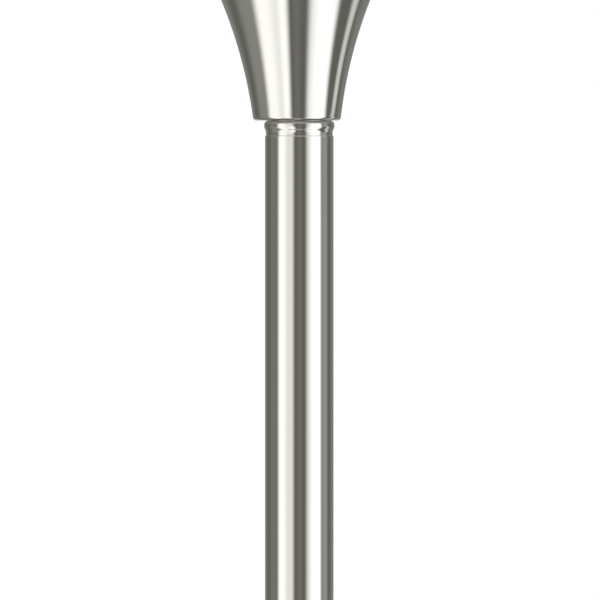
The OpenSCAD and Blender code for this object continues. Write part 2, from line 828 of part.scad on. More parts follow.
floor_felt();
base_bottom_plate();
bottom_plate_screws();
base_weight();
base_cover();
base_collar();
base_nipple();
base_nut();
base_lock_washer();
base_flat_washer();
cord_gland();
gland_nut();
terminal_block();
terminal_block_screws();
lower_tube();
foot_plug();
lower_joint_socket();
lower_joint_stud();
middle_tube();
upper_joint_socket();
upper_joint_stud();
upper_tube();
dimmer_housing();
dimmer_rear_cover();
dimmer_terminals();
dimmer_track();
dimmer_bush();
dimmer_saddle();
dimmer_nut();
dimmer_rotor();
dimmer_spring();
dimmer_clip();
dimmer_shaft();
dimmer_knob();
knob_set_screw();
neck_plug();
top_nipple();
trumpet_shade();
shade_foot_disc();
shade_washer();
shade_lock_washer();
shade_nut();
socket_base();
socket_shell();
socket_core();
socket_screw_shell();
socket_centre_contact();
socket_terminal_screws();
socket_set_screw();
bulb_glass();
bulb_cap();
bulb_cap_insulator();
bulb_contact();
bulb_stem();
bulb_lead_wires();
bulb_filament();
live_wire();
neutral_wire();
switched_wire();
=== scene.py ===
"""A polished torchiere floor lamp: its finishes, its finely turned outer pieces, the light and the camera.
Metres, +Z up, the lamp's front towards -Y."""

import json
import math

import bpy
from mathutils import Matrix, Vector


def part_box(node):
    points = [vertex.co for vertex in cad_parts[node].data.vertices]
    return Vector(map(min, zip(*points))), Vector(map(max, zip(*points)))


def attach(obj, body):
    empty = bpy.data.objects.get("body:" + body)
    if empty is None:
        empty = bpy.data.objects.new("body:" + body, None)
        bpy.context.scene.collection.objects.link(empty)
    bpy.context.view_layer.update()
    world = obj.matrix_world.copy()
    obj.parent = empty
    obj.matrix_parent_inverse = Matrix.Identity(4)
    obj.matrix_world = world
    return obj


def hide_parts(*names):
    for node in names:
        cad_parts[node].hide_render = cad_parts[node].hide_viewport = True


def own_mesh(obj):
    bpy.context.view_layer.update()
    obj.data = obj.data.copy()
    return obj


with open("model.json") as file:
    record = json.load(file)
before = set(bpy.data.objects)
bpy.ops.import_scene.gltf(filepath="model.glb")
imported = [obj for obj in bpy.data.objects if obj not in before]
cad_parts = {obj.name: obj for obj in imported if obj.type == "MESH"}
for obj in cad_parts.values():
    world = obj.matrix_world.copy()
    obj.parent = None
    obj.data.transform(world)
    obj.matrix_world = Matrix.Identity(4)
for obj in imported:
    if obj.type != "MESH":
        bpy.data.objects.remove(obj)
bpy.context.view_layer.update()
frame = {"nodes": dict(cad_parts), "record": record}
SLOT_OF = {part["node"]: part["material_slot"] for part in frame["record"]["subparts"]}
MM = 0.001

# ---------------------------------------------------------------- sizes that the pieces share
POLE_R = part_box("middle_tube")[1].x
POLE_INNER_R = POLE_R - 1.2 * MM
PIPE_R = 5.3 * MM                             # the hole for the threaded pipe
BUSH_HOLE_R = 4.15 * MM                       # the hole for the dimmer's bush
FOOT_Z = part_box("trumpet_shade")[0].z
SHADE_R = 150 * MM
SHADE_SHEET = 1.2 * MM
FLARE_R = 262.5 * MM                          # the outside of the shade is one arc
FLARE_CENTRE_R = 284.8 * MM
FLARE_CENTRE_Z = FOOT_Z - 31.4 * MM
RIM_SLOPE = math.degrees(math.acos((FLARE_CENTRE_R - SHADE_R) / FLARE_R))
RIM_BEAD = 2 * MM
SHADE_OFFSET = -1.3 * MM                      # the shade sits a little left of the pole's axis
SHADE_LEAN = math.radians(0.6)                # and leans a little to the left
DIMMER_Z = (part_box("dimmer_knob")[0].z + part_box("dimmer_knob")[1].z) / 2
OFF_ANGLE = math.radians(30)                  # the knob's line points to seven o'clock when it is off
ON_AXIS = 1e-5                                # the radius of an outline's end that closes on the axis


# ---------------------------------------------------------------- meshes
def arc(cx, cz, r, start, end, steps):
    """Points along an arc, angles in degrees."""
    turn = [math.radians(start + (end - start) * i / steps) for i in range(steps + 1)]
    return [(cx + r * math.cos(a), cz + r * math.sin(a)) for a in turn]


def rounded(corners, steps=5):
    """A closed outline whose corners (r, z, radius) are rounded off."""
    points = []
    for i, (r, z, radius) in enumerate(corners):
        here = Vector((r, z))
        before = (Vector(corners[i - 1][:2]) - here).normalized()
        after = (Vector(corners[(i + 1) % len(corners)][:2]) - here).normalized()
        half = before.angle(after) / 2
        if radius <= 0 or half > math.radians(89):
            points.append((r, z))
            continue
        reach = radius / math.tan(half)
        centre = here + (before + after).normalized() * (radius / math.sin(half))
        first = here + before * reach - centre
        last = here + after * reach - centre
        swing = math.pi - 2 * half
        for k in range(steps + 1):
            t = k / steps
            spoke = first * math.sin((1 - t) * swing) + last * math.sin(t * swing)
            points.append(tuple(centre + spoke.normalized() * radius))
    return points


def outward(outline):
    """The outline in the order that makes its turned faces look outwards."""
    area = sum(a[0] * b[1] - b[0] * a[1] for a, b in zip(outline, outline[1:] + outline[:1]))
    return outline if area > 0 else outline[::-1]


def mesh_piece(name, verts, faces):
    """A new object with one mesh."""
    mesh = bpy.data.meshes.new(name)
    mesh.from_pydata(verts, [], faces)
    piece = bpy.data.objects.new(name, mesh)
    bpy.context.scene.collection.objects.link(piece)
    return piece


def smooth(mesh, sharp):
    """Smooth shading, with a hard line where two faces meet at more than sharp degrees."""
    mesh.shade_smooth()
    mesh.set_sharp_from_angle(angle=math.radians(sharp))


def turned(name, outline, segments=256, sharp=40, bend=None, finishes=()):
    """A closed outline of (radius, height) points turned round Z. bend moves each finished point, and
    finishes gives (first face, end face, material) for the faces that don't have the first material."""
    n = len(outline)
    finish = [0] * n
    for start, end, number in finishes:
        finish[start:end] = [number] * (end - start)
    verts = []
    for i in range(segments):
        a = 2 * math.pi * (i + 0.5) / segments
        verts += [(r * math.cos(a), r * math.sin(a), z) for r, z in outline]
    if bend:
        verts = [bend(Vector(v)) for v in verts]
    faces = []
    for i in range(segments):
        a, b = i * n, (i + 1) % segments * n
        faces += [(a + k, b + k, b + (k + 1) % n, a + (k + 1) % n) for k in range(n)]
    piece = mesh_piece(name, verts, faces)
    piece.data.polygons.foreach_set("material_index", finish * segments)
    smooth(piece.data, sharp)
    piece.data.validate()
    return piece


def lofted(name, rings):
    """A closed skin over rings of points, with a flat face at both ends."""
    n = len(rings[0])
    verts = [point for ring in rings for point in ring]
    faces = [(a + k, a + (k + 1) % n, a + n + (k + 1) % n, a + n + k)
             for a in range(0, len(verts) - n, n) for k in range(n)]
    faces += [tuple(range(n))[::-1], tuple(range(len(verts) - n, len(verts)))]
    return mesh_piece(name, verts, faces)


def place(piece, *steps):
    """Moves a finished mesh by matrices, in order."""
    for step in steps:
        piece.data.transform(step)
    return piece


def raised(z):
    """The matrix that lifts what was built on the ground."""
    return Matrix.Translation((0, 0, z))


def facing_front(y, z):
    """The matrix that turns what was built up Z, so that it runs towards -Y from the given y."""
    return Matrix.Translation((0, y, z)) @ Matrix.Rotation(math.radians(90), 4, "X")


def carve(piece, tool, operation="DIFFERENCE", sharp=40):
    """Cuts a tool's shape out of a piece, or keeps only what lies in both."""
    change = piece.modifiers.new("carve", "BOOLEAN")
    change.operation, change.solver, change.object = operation, "EXACT", tool
    bpy.context.view_layer.update()
    carved = bpy.data.meshes.new_from_object(piece.evaluated_get(bpy.context.evaluated_depsgraph_get()))
    piece.modifiers.remove(change)
    piece.data = carved
    bpy.data.objects.remove(tool)
    smooth(carved, sharp)
    return piece


def rod(radius, start, direction, length, sides=64):
    """A solid round tool from start along direction."""
    tool = turned("tool", [(ON_AXIS, 0), (radius, 0), (radius, length), (ON_AXIS, length)], sides)
    aim = Vector(direction).to_track_quat("Z", "Y").to_matrix().to_4x4()
    return place(tool, aim, Matrix.Translation(start))


def prism(flats, height, sides=6):
    """A solid tool with flat sides, which reaches well past a piece that stands on the ground."""
    corner = flats / 2 / math.cos(math.pi / sides)
    turn = [2 * math.pi * k / sides for k in range(sides)]
    return lofted("tool", [[(corner * math.cos(a), corner * math.sin(a), z) for a in turn]
                           for z in (-height, 2 * height)])


def nut(name, flats, bore, height):
    """A hexagon nut, chamfered round both faces, standing on the ground."""
    corner = flats / 2 / math.cos(math.radians(30))
    face_r = flats / 2 * 0.97
    drop = (corner - face_r) * math.tan(math.radians(30))
    lip = 0.3 * MM
    blank = turned(name, [(bore, lip), (bore + lip, 0), (face_r, 0), (corner, drop), (corner, height - drop),
                          (face_r, height), (bore + lip, height), (bore, height - lip)], 96)
    return carve(blank, prism(flats, height), "INTERSECT", sharp=25)


def fit(piece, body, slot, *nodes, finishes=()):
    """Puts a finished piece on its body, in place of CAD nodes. It has its slot's finish, or those given."""
    for name in finishes or [slot]:
        piece.data.materials.append(FINISHES[name])
    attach(piece, body)
    if nodes:
        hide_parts(*nodes)


# ---------------------------------------------------------------- shader nodes
class Graph:
    """Short calls for the nodes of one shader tree."""

    def __init__(self, tree):
        self.tree = tree
        tree.nodes.clear()

    def add(self, kind, inputs=None, **settings):
        node = self.tree.nodes.new(kind)
        for key, value in settings.items():
            setattr(node, key, value)
        for key, value in (inputs or {}).items():
            self.set(node.inputs[key], value)
        return node

    def set(self, socket, value):
        if isinstance(value, bpy.types.NodeSocket):
            self.tree.links.new(value, socket)
        else:
            socket.default_value = value

    def math(self, operation, *values):
        node = self.add("ShaderNodeMath", operation=operation)
        for socket, value in zip(node.inputs, values):
            self.set(socket, value)
        return node.outputs[0]

    def vector(self, operation, *values, scale=None):
        node = self.add("ShaderNodeVectorMath", operation=operation)
        for socket, value in zip(node.inputs, values):
            self.set(socket, value)
        if scale is not None:
            self.set(node.inputs["Scale"], scale)
        return node.outputs[0]

    def measure(self, operation, *values):
        """A vector operation whose answer is one number."""
        return self.vector(operation, *values).node.outputs["Value"]

    def inverse(self, value):
        """One less the value."""
        return self.math("SUBTRACT", 1.0, value)

    def ramp(self, value, low, high):
        """A smooth step from 0 at low to 1 at high."""
        node = self.add("ShaderNodeMapRange", {"Value": value, "From Min": low, "From Max": high})
        node.interpolation_type = "SMOOTHSTEP"
        return node.outputs[0]

    def span(self, value, low, high):
        """A straight map of noise from 0..1 to low..high."""
        return self.add("ShaderNodeMapRange", {"Value": value, "To Min": low, "To Max": high}).outputs[0]

    def noise(self, place, scale, detail=3.0, roughness=0.55, distortion=0.0):
        node = self.add("ShaderNodeTexNoise", {"Vector": place, "Scale": scale, "Detail": detail,
                                               "Roughness": roughness, "Distortion": distortion})
        return node.outputs["Fac"]

    def blend(self, factor, a, b):
        node = self.add("ShaderNodeMix", data_type="RGBA")
        self.set(node.inputs["Factor"], factor)
        colours = [socket for socket in node.inputs if socket.type == "RGBA"]
        for socket, value in zip(colours, (a, b)):
            self.set(socket, value)
        return next(socket for socket in node.outputs if socket.type == "RGBA")

    def mix_shaders(self, factor, a, b):
        node = self.add("ShaderNodeMixShader")
        for socket, value in zip(node.inputs, (factor, a.outputs[0], b.outputs[0])):
            self.set(socket, value)
        return node

    def output(self, shader, kind="ShaderNodeOutputMaterial"):
        self.set(self.add(kind).inputs["Surface"], shader.outputs[0])


def new_material(name):
    """A material, its graph, and the coordinates that its marks are laid out by."""
    material = bpy.data.materials.new(name)
    material.use_nodes = True
    g = Graph(material.node_tree)
    return material, g, g.add("ShaderNodeTexCoord").outputs["Object"]


def shade(colour, factor):
    return tuple(min(1.0, c * factor) for c in colour) + (1.0,)


def round_the_axis(g, place, turns, rise):
    """Coordinates that are stretched round the Z axis, for marks left by turning and polishing."""
    split = g.add("ShaderNodeSeparateXYZ", {"Vector": place})
    flat = g.add("ShaderNodeCombineXYZ", {"X": split.outputs["X"], "Y": split.outputs["Y"]}).outputs[0]
    ring = g.vector("SCALE", g.vector("NORMALIZE", flat), scale=turns)
    up = g.add("ShaderNodeCombineXYZ", {"Z": g.math("MULTIPLY", split.outputs["Z"], rise)}).outputs[0]
    return g.vector("ADD", ring, up)


def polished_steel(name, colour=(0.64, 0.63, 0.595), roughness=0.085):
    """Fine-polished sheet or tube: faint turning marks, wiped smears and a few dull patches."""
    material, g, place = new_material(name)
    marks = g.noise(round_the_axis(g, place, turns=1.4, rise=2300.0), 1.0, detail=4.0, roughness=0.6)
    wiped = g.vector("MULTIPLY", place, (22.0, 22.0, 7.0))
    smears = g.noise(wiped, 1.0, detail=4.0, distortion=0.8)
    patches = g.noise(place, 9.0, detail=2.0)
    tone = g.blend(patches, shade(colour, 0.965), shade(colour, 1.02))
    tone = g.blend(g.math("MULTIPLY", g.ramp(marks, 0.45, 0.8), 0.10), tone, shade(colour, 0.72))
    rough = g.math("ADD", g.span(smears, roughness * 0.75, roughness * 1.3),
                   g.math("MULTIPLY", g.ramp(marks, 0.4, 0.75), 0.03))
    bump = g.add("ShaderNodeBump", {"Height": marks, "Strength": 0.05, "Distance": 0.03 * MM})
    tangent = g.add("ShaderNodeTangent", direction_type="RADIAL", axis="Z")
    g.output(g.add("ShaderNodeBsdfPrincipled", {
        "Base Color": tone, "Metallic": 1.0, "Roughness": rough, "Normal": bump.outputs[0],
        "Anisotropic": 0.45, "Anisotropic Rotation": 0.25, "Tangent": tangent.outputs[0]}))
    return material


def plain_finish(name, colour, metallic=0.0, roughness=0.5, spread=0.12, grain=900.0, depth=0.05 * MM,
                 vary=0.12, coat=0.0, sheen=0.0, stretch=(1.0, 1.0, 1.0), subsurface=0.0, specks=0.35):
    """A surface with grain, uneven gloss and uneven colour, for everything that isn't polished steel."""
    material, g, place = new_material(name)
    place = g.vector("MULTIPLY", place, stretch)
    fine = g.noise(place, grain, detail=4.0, roughness=0.6)
    broad = g.noise(place, grain * 0.04, distortion=0.4)
    tone = g.blend(broad, shade(colour, 1 - vary), shade(colour, 1 + vary))
    tone = g.blend(g.math("MULTIPLY", g.ramp(fine, 0.5, 0.8), specks), tone, shade(colour, 0.7))
    rough = g.span(g.math("ADD", g.math("MULTIPLY", fine, 0.5), g.math("MULTIPLY", broad, 0.5)),
                   max(0.03, roughness - spread), min(1.0, roughness + spread))
    bump = g.add("ShaderNodeBump", {"Height": fine, "Strength": 0.35, "Distance": depth})
    g.output(g.add("ShaderNodeBsdfPrincipled", {
        "Base Color": tone, "Metallic": metallic, "Roughness": rough, "Normal": bump.outputs[0],
        "Coat Weight": coat, "Coat Roughness": 0.12, "Sheen Weight": sheen,
        "Subsurface Weight": subsurface, "Subsurface Radius": (0.004, 0.003, 0.002)}))
    return material


def clear_glass(name):
    """Clear glass with a faint haze."""
    material, g, place = new_material(name)
    haze = g.noise(place, 160.0)
    g.output(g.add("ShaderNodeBsdfPrincipled", {
        "Base Color": g.blend(haze, (0.88, 0.95, 0.94, 1), (0.95, 0.97, 0.97, 1)),
        "Roughness": g.span(haze, 0.02, 0.08), "Transmission Weight": 0.9, "IOR": 1.5}))
    return material


# Every material slot has a finish of its own name. The last three are for faces that the slots leave out.
PLAIN_FINISHES = {
    "felt": dict(colour=(0.10, 0.10, 0.105), roughness=0.95, spread=0.04, grain=1400.0, depth=0.4 * MM,
                 vary=0.25, sheen=0.4),
    "plated_steel": dict(colour=(0.60, 0.60, 0.57), metallic=1.0, roughness=0.33, grain=700.0,
                         depth=0.03 * MM, vary=0.06),
    "zinc_plate": dict(colour=(0.22, 0.22, 0.225), metallic=0.8, grain=260.0, depth=0.03 * MM, vary=0.2),
    "iron": dict(colour=(0.055, 0.055, 0.06), metallic=0.3, roughness=0.75, grain=420.0, depth=0.5 * MM,
                 vary=0.3),
    "black_plastic": dict(colour=(0.022, 0.022, 0.023), roughness=0.45, grain=1900.0, depth=0.04 * MM),
    "phenolic": dict(colour=(0.20, 0.09, 0.04), grain=600.0, stretch=(1, 5, 1), vary=0.25),
    "carbon_track": dict(colour=(0.02, 0.02, 0.021), roughness=0.35, grain=2400.0, depth=0.01 * MM),
    "white_plastic": dict(colour=(0.75, 0.75, 0.72), roughness=0.4, grain=1500.0, depth=0.03 * MM,
                          vary=0.04),
    "brass": dict(colour=(0.72, 0.53, 0.24), metallic=1.0, roughness=0.28, grain=500.0, depth=0.03 * MM),
    "porcelain": dict(colour=(0.84, 0.82, 0.76), roughness=0.22, spread=0.06, grain=220.0,
                      depth=0.03 * MM, vary=0.03, coat=0.6, specks=0.06),
    "frosted_glass": dict(colour=(0.93, 0.93, 0.91), roughness=0.24, spread=0.05, depth=0.01 * MM,
                          vary=0.02, coat=0.5, subsurface=0.3, specks=0.03),
    "tungsten": dict(colour=(0.25, 0.25, 0.26), metallic=1.0, roughness=0.4, grain=3000.0),
    "black_glass": dict(colour=(0.02, 0.02, 0.025), roughness=0.15, depth=0.01 * MM, coat=0.5),
    "black_wire": dict(colour=(0.025, 0.025, 0.025), grain=1200.0),
    "white_wire": dict(colour=(0.78, 0.77, 0.73), grain=1200.0, vary=0.05),
    "red_wire": dict(colour=(0.42, 0.03, 0.025), grain=1200.0),
    "white_enamel": dict(colour=(0.86, 0.855, 0.83), roughness=0.3, spread=0.07, grain=520.0, vary=0.025,
                         coat=0.35, specks=0.04),
    "satin_steel": dict(colour=(0.78, 0.77, 0.74), metallic=0.55, roughness=0.6, grain=700.0,
                        depth=0.03 * MM, vary=0.05),
    "dark_enamel": dict(colour=(0.015, 0.015, 0.016), roughness=0.35, grain=1600.0),
}
FINISHES = {name: plain_finish(name, **look) for name, look in PLAIN_FINISHES.items()}
FINISHES["polished_steel"] = polished_steel("polished_steel")
FINISHES["clear_glass"] = clear_glass("clear_glass")

for node, thing in frame["nodes"].items():
    thing.data.materials.clear()
    thing.data.materials.append(FINISHES[SLOT_OF[node]])


def soften(width, *nodes):
    """Breaks the sharp edges of CAD pieces that stay as they are."""
    for node in nodes:
        thing = frame["nodes"][node]
        weld = thing.modifiers.new("weld", "WELD")
        weld.merge_threshold = 0.001 * MM
        edge = thing.modifiers.new("broken_edges", "BEVEL")
        edge.width, edge.segments, edge.limit_method = width, 2, "ANGLE"
        edge.angle_limit = math.radians(50)
        edge.use_clamp_overlap = True
        edge.harden_normals = True


soften(0.25 * MM, "base_bottom_plate", "base_weight", "foot_plug", "lower_joint_socket", "lower_joint_stud",
       "upper_joint_socket", "upper_joint_stud", "terminal_block", "socket_core", "floor_felt")
soften(0.12 * MM, "base_flat_washer", "base_nut", "gland_nut", "dimmer_housing", "dimmer_rear_cover",
       "dimmer_bush", "dimmer_rotor", "dimmer_terminals", "bottom_plate_screws", "socket_set_screw",
       "top_nipple", "base_nipple")


# ---------------------------------------------------------------- pole
def pole_tube(node, hole_z=None):
    """A tube of the pole. hole_z is the height of the hole that the dimmer's bush goes through."""
    low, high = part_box(node)
    inner_edge, outer_edge = 0.15 * MM, 0.5 * MM
    clear = 8 * MM
    beside_hole = [hole_z - clear, hole_z + clear] if hole_z else []
    outline = rounded([(POLE_INNER_R, low.z, inner_edge), (POLE_R, low.z, outer_edge)]
                      + [(POLE_R, z, 0) for z in beside_hole]
                      + [(POLE_R, high.z, outer_edge), (POLE_INNER_R, high.z, inner_edge)]
                      + [(POLE_INNER_R, z, 0) for z in beside_hole[::-1]])
    tube = turned(node + "_skin", outward(outline))
    if hole_z:
        carve(tube, rod(BUSH_HOLE_R, (0, -2 * POLE_R, hole_z), (0, 1, 0), 2 * POLE_R))
    fit(tube, "stand", "polished_steel", node)


def neck():
    """The ring under the shade, and the hollow groove between it and the pole."""
    low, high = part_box("neck_plug")
    tube_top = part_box("upper_tube")[1].z
    ring_r, groove_r, groove_h = high.x, 18.5 * MM, 1.5 * MM
    turn, top_edge, steps = 30, 2.2 * MM, 8
    bend = (ring_r - groove_r) / 2 / (1 - math.cos(math.radians(turn)))
    rise = bend * math.sin(math.radians(turn))
    foot = tube_top + groove_h
    outline = [(PIPE_R, low.z), (POLE_INNER_R, low.z), (POLE_INNER_R, tube_top), (groove_r, tube_top)]
    outline += arc(groove_r + bend, foot, bend, 180, 180 - turn, steps)
    outline += arc(ring_r - bend, foot + 2 * rise, bend, -turn, 0, steps)[1:]
    outline += arc(ring_r - top_edge, high.z - top_edge, top_edge, 0, 90, steps)
    outline += [(PIPE_R, high.z)]
    fit(turned("neck_ring", outward(outline)), "stand", "polished_steel", "neck_plug")


# ---------------------------------------------------------------- shade
def flare(offset, low_z):
    """The trumpet's wall from the height low_z to its rim."""
    r = FLARE_R + offset
    first = 180 - math.degrees(math.asin((low_z - FLARE_CENTRE_Z) / r))
    return arc(FLARE_CENTRE_R, FLARE_CENTRE_Z, r, first, 180 - RIM_SLOPE, 110)


def trumpet():
    """The shade: its foot, its wall, the rolled bead round its rim, and the enamel inside."""
    edge, inside_edge = 2.2 * MM, 2 * MM
    floor_z = FOOT_Z + SHADE_SHEET
    outside = flare(0, FOOT_Z + edge)
    foot = arc(outside[0][0] - edge, FOOT_Z + edge, edge, -90, 0, 10)
    inside = flare(SHADE_SHEET, floor_z + inside_edge)
    inside_foot = arc(inside[0][0] - inside_edge, floor_z + inside_edge, inside_edge, 0, -90, 8)
    rim_r, rim_z = outside[-1]
    bead = arc(rim_r, rim_z, RIM_BEAD, RIM_SLOPE - 160, RIM_SLOPE + 150, 28)
    outline = ([(PIPE_R, FOOT_Z)] + foot[:-1] + outside[:-2] + bead + inside[::-1][2:] + inside_foot[1:]
               + [(PIPE_R, floor_z)])
    enamel_start = len(foot) + len(outside) + len(bead) - 6      # a little before the end of the bead
    finishes = [(enamel_start, len(outline) - 1, 1), (0, 1, 2)]

    def set_off(v):
        return (v.x + SHADE_OFFSET - (v.z - FOOT_Z) * math.tan(SHADE_LEAN), v.y, v.z)

    piece = turned("trumpet", outline, 288, sharp=50, bend=set_off, finishes=finishes)
    fit(piece, "stand", "polished_steel", "trumpet_shade", "shade_foot_disc",
        finishes=["polished_steel", "white_enamel", "satin_steel"])


# ---------------------------------------------------------------- base
def base_shell():
    """The spun cover of the base: a shallow dome with a rounded rim, and the hole for the cord gland."""
    low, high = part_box("base_cover")
    base_r, edge, dome_r, sheet = 152.5 * MM, 6 * MM, 1200 * MM, 1.2 * MM
    centre = high.z - dome_r
    lean = math.degrees(math.asin((base_r - edge) / (dome_r - edge)))
    hole = math.degrees(math.asin(PIPE_R / dome_r))
    rim_z = centre + math.sqrt((dome_r - edge) ** 2 - (base_r - edge) ** 2)
    outer = arc(base_r - edge, rim_z, edge, 0, 90 - lean, 14)
    outer += arc(0, centre, dome_r, 90 - lean, 90 - hole, 24)[1:]
    inner = arc(base_r - edge, rim_z, edge - sheet, 0, 90 - lean, 8)
    inner += arc(0, centre, dome_r - sheet, 90 - lean, 90 - hole, 12)[1:]
    wall = [(base_r - sheet, low.z + 0.2 * MM), (base_r - 0.8 * MM, low.z), (base_r - 0.3 * MM, low.z),
            (base_r, low.z + 0.4 * MM)]
    wall += [(base_r, low.z + (rim_z - low.z) * k / 8) for k in range(1, 8)]
    shell = turned("base_shell", outward(wall + outer + inner[::-1]), 360)
    gland_low, gland_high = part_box("cord_gland")
    gland_z = (gland_low.z + gland_high.z) / 2
    carve(shell, rod(4.55 * MM, (0, gland_high.y + 4 * MM, gland_z), (0, -1, 0), 18 * MM))
    fit(shell, "stand", "polished_steel", "base_cover")


def base_collar():
    """The collar round the pole's foot: a low flange, a hollow cove and a rounded top."""
    top_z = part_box("base_collar")[1].z
    seat_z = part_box("base_cover")[1].z
    foot_r, top_r, flange, inside = 28 * MM, 21.5 * MM, 3 * MM, 2 * MM
    foot_edge, flange_edge, top_edge = 0.6 * MM, 0.7 * MM, 0.8 * MM
    cove = foot_r - top_r
    pole_r = POLE_R + 0.1 * MM
    outline = [(PIPE_R, seat_z)] + arc(foot_r - foot_edge, seat_z + 0.4 * MM, foot_edge, -90, 0, 4)
    outline += arc(foot_r - flange_edge, seat_z + flange - flange_edge, flange_edge, 0, 80, 5)
    outline += arc(foot_r - 0.2 * MM, seat_z + flange + cove, cove, 268, 184, 16)
    outline += arc(top_r - top_edge, top_z - top_edge, top_edge, 0, 90, 6)
    outline += [(pole_r, top_z), (pole_r, seat_z + inside), (PIPE_R, seat_z + inside)]
    fit(turned("base_collar_ring", outward(outline)), "stand", "polished_steel", "base_collar")


def cord_gland():
    """The gland at the rear of the base."""
    low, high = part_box("cord_gland")
    middle_z = (low.z + high.z) / 2
    flange_r, barrel_r, bore_r = (high.z - low.z) / 2, 4.5 * MM, 3.3 * MM
    length, flange = high.y - low.y, 1.6 * MM
    outline = rounded([(bore_r, 0, 0.5 * MM), (flange_r, 0, 0.7 * MM), (flange_r, flange, 0.15 * MM),
                       (barrel_r, flange, 0), (barrel_r, length, 0.3 * MM), (bore_r, length, 0.3 * MM)])

    def at_rear(v):
        return (v.x, high.y - v.z, middle_z + v.y)

    gland = turned("cord_inlet_gland", outward(outline), 96, bend=at_rear)
    fit(gland, "stand", "black_plastic", "cord_gland")


# ---------------------------------------------------------------- dimmer
def knob():
    """The knob, ribbed round its side, with a recess over the nut and a hole for its set screw."""
    low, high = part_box("dimmer_knob")
    knob_r, length = 11 * MM, high.y - low.y
    recess_r, recess_h, shaft_r, lip = 8 * MM, 4.5 * MM, 3.05 * MM, 0.3 * MM
    rear_edge, front_edge, dish, face_wall = 0.5 * MM, 1.2 * MM, 0.25 * MM, 2.5 * MM
    ribs, rib_depth = 36, 0.35 * MM
    side_low, side_high = 1.6 * MM, length - 2 * MM
    side = [side_low + (side_high - side_low) * k / 10 for k in range(11)]
    ribs_low, ribs_high = (side[1] + side[2]) / 2, (side[-2] + side[-1]) / 2
    outline = [(recess_r - lip, recess_h), (recess_r, recess_h - lip), (recess_r, lip), (recess_r + lip, 0),
               (knob_r - rear_edge, 0)]
    outline += arc(knob_r - rear_edge, rear_edge, rear_edge, -80, 0, 4) + [(knob_r, z) for z in side]
    outline += arc(knob_r - front_edge, length - front_edge, front_edge, 0, 90, 8)
    outline += [(knob_r - 2.2 * MM, length), (knob_r - 2.6 * MM, length - dish),
                (ON_AXIS, length - dish * 1.6), (ON_AXIS, length - face_wall),
                (shaft_r, length - face_wall), (shaft_r, recess_h)]

    def rib(v):
        r = math.hypot(v.x, v.y)
        scale = 1.0
        if r > knob_r - 0.01 * MM and ribs_low < v.z < ribs_high:
            hollow = max(0.0, -math.cos(ribs * math.atan2(v.y, v.x))) ** 0.6
            scale = (r - rib_depth * hollow) / r
        return (v.x * scale, high.y - v.z, DIMMER_Z + v.y * scale)

    piece = turned("dimmer_knob_body", outward(outline), ribs * 10, sharp=35, bend=rib)
    screw_low, screw_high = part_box("knob_set_screw")
    screw_way = Vector((math.cos(OFF_ANGLE), 0, -math.sin(OFF_ANGLE)))
    screw_start = Vector((0, (screw_low.y + screw_high.y) / 2, DIMMER_Z)) + screw_way * 4 * MM
    carve(piece, rod(1.52 * MM, screw_start, screw_way, 10 * MM, sides=48), sharp=35)
    fit(piece, "dimmer_shaft", "polished_steel", "dimmer_knob")


def knob_line():
    """The dark line on the knob, a bar with round ends that stands a little proud of its face."""
    face_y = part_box("dimmer_knob")[0].y + 0.25 * MM
    half_w, inner_r, outer_r, proud = 0.45 * MM, 4.4 * MM, 8.3 * MM, 0.12 * MM
    middle = (inner_r + outer_r) / 2
    bar = arc(outer_r, 0, half_w, -90, 90, 8) + arc(inner_r, 0, half_w, 90, 270, 8)
    down = Vector((-math.sin(OFF_ANGLE), -math.cos(OFF_ANGLE)))
    side = Vector((-down.y, down.x))

    def layer(rise, narrow):
        """The bar's outline at one height, narrower by the share narrow and shorter by a tenth of it."""
        flat = [down * (middle + (along - middle) * (1 - narrow * 0.1)) + side * across * (1 - narrow)
                for along, across in bar]
        return [(point.x, face_y - rise, DIMMER_Z + point.y) for point in flat]

    line = lofted("dimmer_knob_line", [layer(0.0, 0.0), layer(proud * 0.7, 0.0), layer(proud, 0.25)])
    line.data.validate()
    fit(line, "dimmer_shaft", "black_plastic", finishes=["dark_enamel"])


def dimmer_front():
    """The saddle between the pole and the dimmer's nut, and the nut itself."""
    low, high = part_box("dimmer_saddle")
    saddle_r, length, rear = high.x, 9 * MM, -3 * MM
    outline = rounded([(BUSH_HOLE_R, rear, 0), (saddle_r, rear, 0), (saddle_r, length, 1.1 * MM),
                       (BUSH_HOLE_R, length, 0.2 * MM)])
    saddle = turned("dimmer_saddle_block", outward(outline), 128)
    place(saddle, facing_front(low.y + length, DIMMER_Z))
    carve(saddle, rod(POLE_R + 0.02 * MM, (0, 0, DIMMER_Z - 30 * MM), (0, 0, 1), 60 * MM, sides=256))
    fit(saddle, "stand", "polished_steel", "dimmer_saddle")

    low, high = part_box("dimmer_nut")
    fixing = nut("dimmer_fixing_nut", 12 * MM, 4.02 * MM, high.y - low.y)
    fit(place(fixing, facing_front(high.y, DIMMER_Z)), "stand", "plated_steel", "dimmer_nut")


